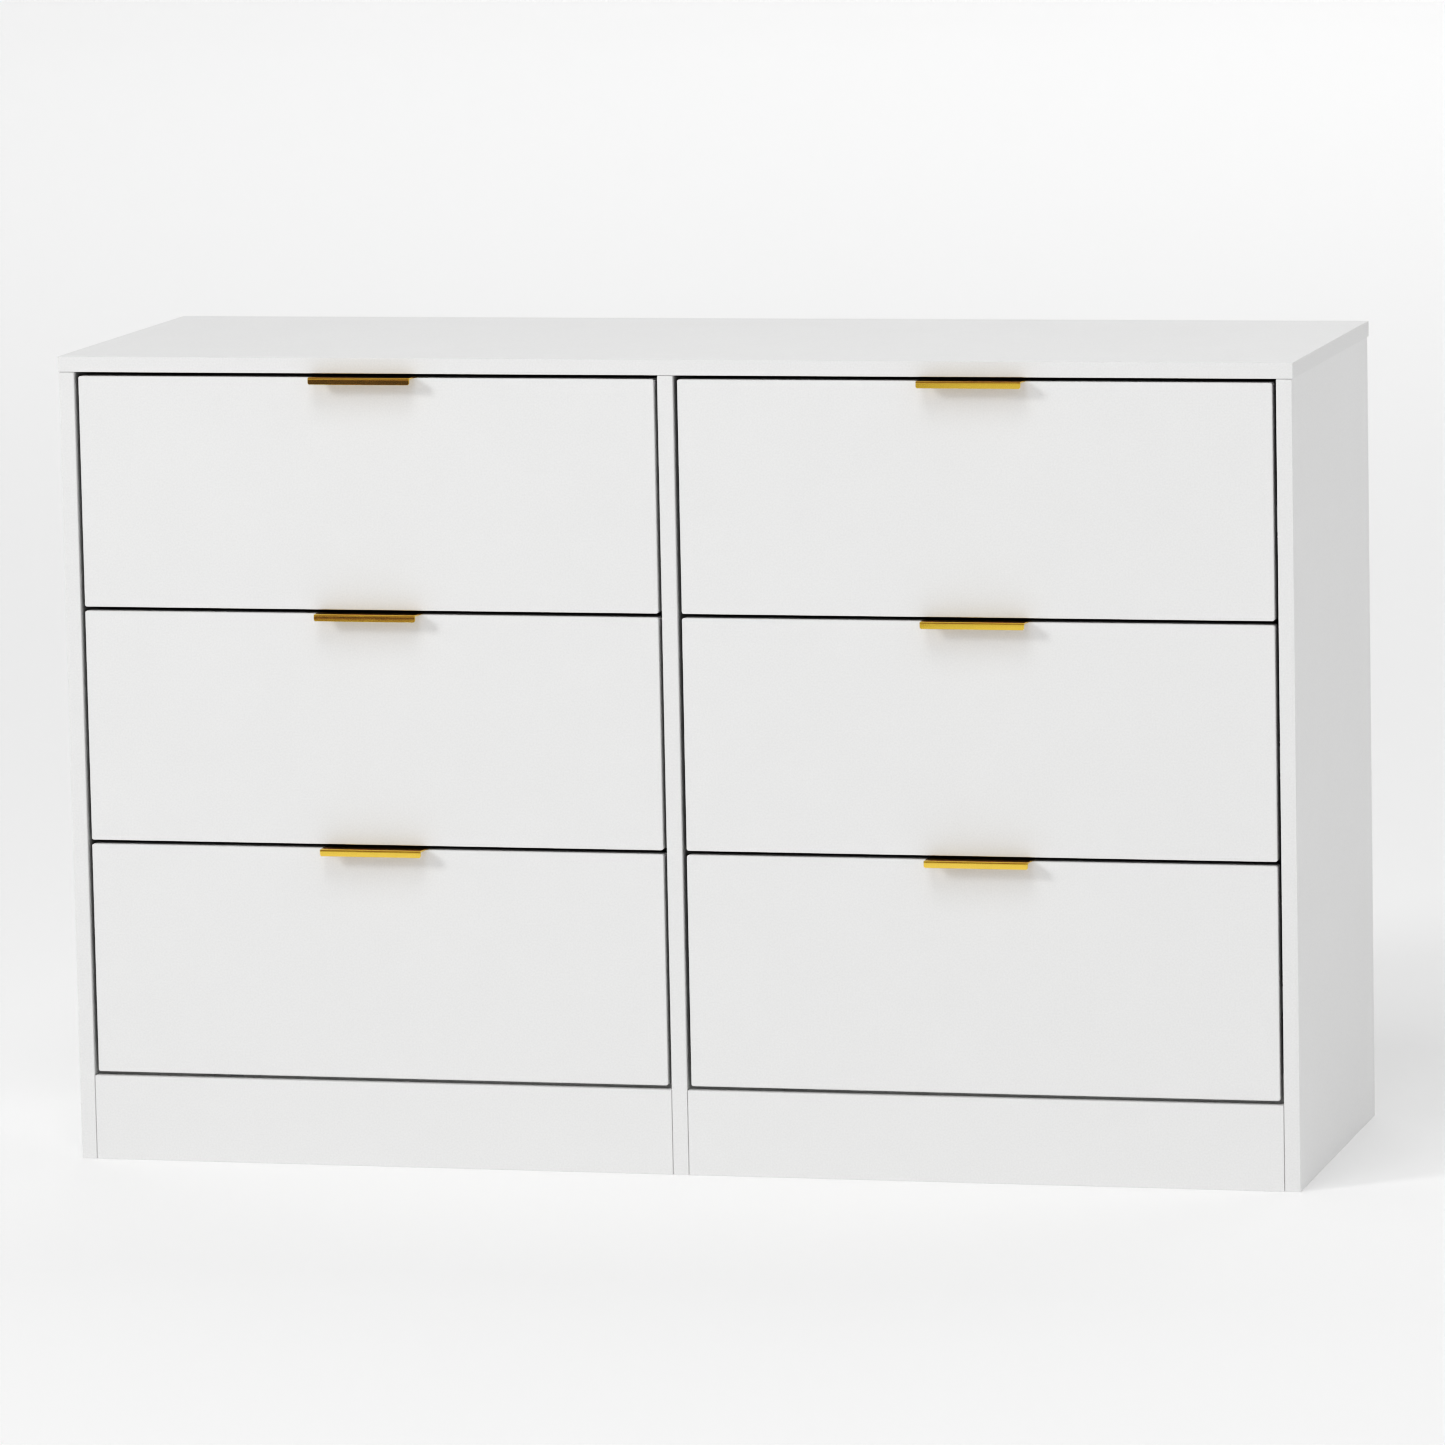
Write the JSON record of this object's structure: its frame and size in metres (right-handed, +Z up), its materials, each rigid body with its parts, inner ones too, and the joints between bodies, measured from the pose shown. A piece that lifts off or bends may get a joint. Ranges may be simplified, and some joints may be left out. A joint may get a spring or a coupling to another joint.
{
  "type": "dresser",
  "caption": "Wide free-standing dresser: side-by-side stacks of inset drawers in a board carcass on flush plinths, sliding on telescopic runners and opened by metal edge pulls.",
  "frame": {"origin": "on the floor, in the middle of the carcass's width and depth with the pulls left out, which is the middle of the divider's lower edge", "axes": "+Z up, +X along the dresser's width to its right-hand side as seen from the front, +Y from the drawer fronts to the back"},
  "size_m": [1.2, 0.4165, 0.78],
  "materials": {
    "white_laminate": "satin white melamine laminate on particleboard, edges banded to match",
    "white_hardboard": "matt white painted hardboard",
    "gold_metal": "satin gold-coloured anodised aluminium",
    "zinc": "bright zinc-plated steel",
    "beech": "plain beech"
  },
  "bodies": {
    "carcass": {"top_panel": "white_laminate", "side_panel_left": "white_laminate", "side_panel_right": "white_laminate", "centre_divider": "white_laminate", "plinth_left": "white_laminate", "plinth_right": "white_laminate", "rear_rails": "white_laminate", "back_panels": "white_hardboard", "carcass_cams": "zinc", "carcass_dowels": "beech", "cabinet_runners": "zinc", "carcass_screws": "zinc"},
    "drawer_left_top": {"drawer_left_top_front": "white_laminate", "drawer_left_top_sides": "white_laminate", "drawer_left_top_back": "white_laminate", "drawer_left_top_bottom": "white_hardboard", "drawer_left_top_pull": "gold_metal", "drawer_left_top_runners": "zinc", "drawer_left_top_fasteners": "zinc"},
    "drawer_left_top_middles": {"drawer_left_top_runner_middles": "zinc"},
    "drawer_left_middle": {"drawer_left_middle_front": "white_laminate", "drawer_left_middle_sides": "white_laminate", "drawer_left_middle_back": "white_laminate", "drawer_left_middle_bottom": "white_hardboard", "drawer_left_middle_pull": "gold_metal", "drawer_left_middle_runners": "zinc", "drawer_left_middle_fasteners": "zinc"},
    "drawer_left_middle_middles": {"drawer_left_middle_runner_middles": "zinc"},
    "drawer_left_bottom": {"drawer_left_bottom_front": "white_laminate", "drawer_left_bottom_sides": "white_laminate", "drawer_left_bottom_back": "white_laminate", "drawer_left_bottom_bottom": "white_hardboard", "drawer_left_bottom_pull": "gold_metal", "drawer_left_bottom_runners": "zinc", "drawer_left_bottom_fasteners": "zinc"},
    "drawer_left_bottom_middles": {"drawer_left_bottom_runner_middles": "zinc"},
    "drawer_right_top": {"drawer_right_top_front": "white_laminate", "drawer_right_top_sides": "white_laminate", "drawer_right_top_back": "white_laminate", "drawer_right_top_bottom": "white_hardboard", "drawer_right_top_pull": "gold_metal", "drawer_right_top_runners": "zinc", "drawer_right_top_fasteners": "zinc"},
    "drawer_right_top_middles": {"drawer_right_top_runner_middles": "zinc"},
    "drawer_right_middle": {"drawer_right_middle_front": "white_laminate", "drawer_right_middle_sides": "white_laminate", "drawer_right_middle_back": "white_laminate", "drawer_right_middle_bottom": "white_hardboard", "drawer_right_middle_pull": "gold_metal", "drawer_right_middle_runners": "zinc", "drawer_right_middle_fasteners": "zinc"},
    "drawer_right_middle_middles": {"drawer_right_middle_runner_middles": "zinc"},
    "drawer_right_bottom": {"drawer_right_bottom_front": "white_laminate", "drawer_right_bottom_sides": "white_laminate", "drawer_right_bottom_back": "white_laminate", "drawer_right_bottom_bottom": "white_hardboard", "drawer_right_bottom_pull": "gold_metal", "drawer_right_bottom_runners": "zinc", "drawer_right_bottom_fasteners": "zinc"},
    "drawer_right_bottom_middles": {"drawer_right_bottom_runner_middles": "zinc"}
  },
  "joints": [
    {"name": "drawer_left_top_slide", "type": "slide", "parent": "carcass", "child": "drawer_left_top", "axis": [0, -1, 0], "range_m": [0, 0.35]},
    {"name": "drawer_left_top_middles_slide", "type": "slide", "parent": "carcass", "child": "drawer_left_top_middles", "axis": [0, -1, 0], "range_m": [0, 0.175]},
    {"name": "drawer_left_middle_slide", "type": "slide", "parent": "carcass", "child": "drawer_left_middle", "axis": [0, -1, 0], "range_m": [0, 0.35]},
    {"name": "drawer_left_middle_middles_slide", "type": "slide", "parent": "carcass", "child": "drawer_left_middle_middles", "axis": [0, -1, 0], "range_m": [0, 0.175]},
    {"name": "drawer_left_bottom_slide", "type": "slide", "parent": "carcass", "child": "drawer_left_bottom", "axis": [0, -1, 0], "range_m": [0, 0.35]},
    {"name": "drawer_left_bottom_middles_slide", "type": "slide", "parent": "carcass", "child": "drawer_left_bottom_middles", "axis": [0, -1, 0], "range_m": [0, 0.175]},
    {"name": "drawer_right_top_slide", "type": "slide", "parent": "carcass", "child": "drawer_right_top", "axis": [0, -1, 0], "range_m": [0, 0.35]},
    {"name": "drawer_right_top_middles_slide", "type": "slide", "parent": "carcass", "child": "drawer_right_top_middles", "axis": [0, -1, 0], "range_m": [0, 0.175]},
    {"name": "drawer_right_middle_slide", "type": "slide", "parent": "carcass", "child": "drawer_right_middle", "axis": [0, -1, 0], "range_m": [0, 0.35]},
    {"name": "drawer_right_middle_middles_slide", "type": "slide", "parent": "carcass", "child": "drawer_right_middle_middles", "axis": [0, -1, 0], "range_m": [0, 0.175]},
    {"name": "drawer_right_bottom_slide", "type": "slide", "parent": "carcass", "child": "drawer_right_bottom", "axis": [0, -1, 0], "range_m": [0, 0.35]},
    {"name": "drawer_right_bottom_middles_slide", "type": "slide", "parent": "carcass", "child": "drawer_right_bottom_middles", "axis": [0, -1, 0], "range_m": [0, 0.175]}
  ],
  "couplings": [
    {"joint": "drawer_left_top_middles_slide", "follows": "drawer_left_top_slide", "ratio": 0.5},
    {"joint": "drawer_left_middle_middles_slide", "follows": "drawer_left_middle_slide", "ratio": 0.5},
    {"joint": "drawer_left_bottom_middles_slide", "follows": "drawer_left_bottom_slide", "ratio": 0.5},
    {"joint": "drawer_right_top_middles_slide", "follows": "drawer_right_top_slide", "ratio": 0.5},
    {"joint": "drawer_right_middle_middles_slide", "follows": "drawer_right_middle_slide", "ratio": 0.5},
    {"joint": "drawer_right_bottom_middles_slide", "follows": "drawer_right_bottom_slide", "ratio": 0.5}
  ]
}
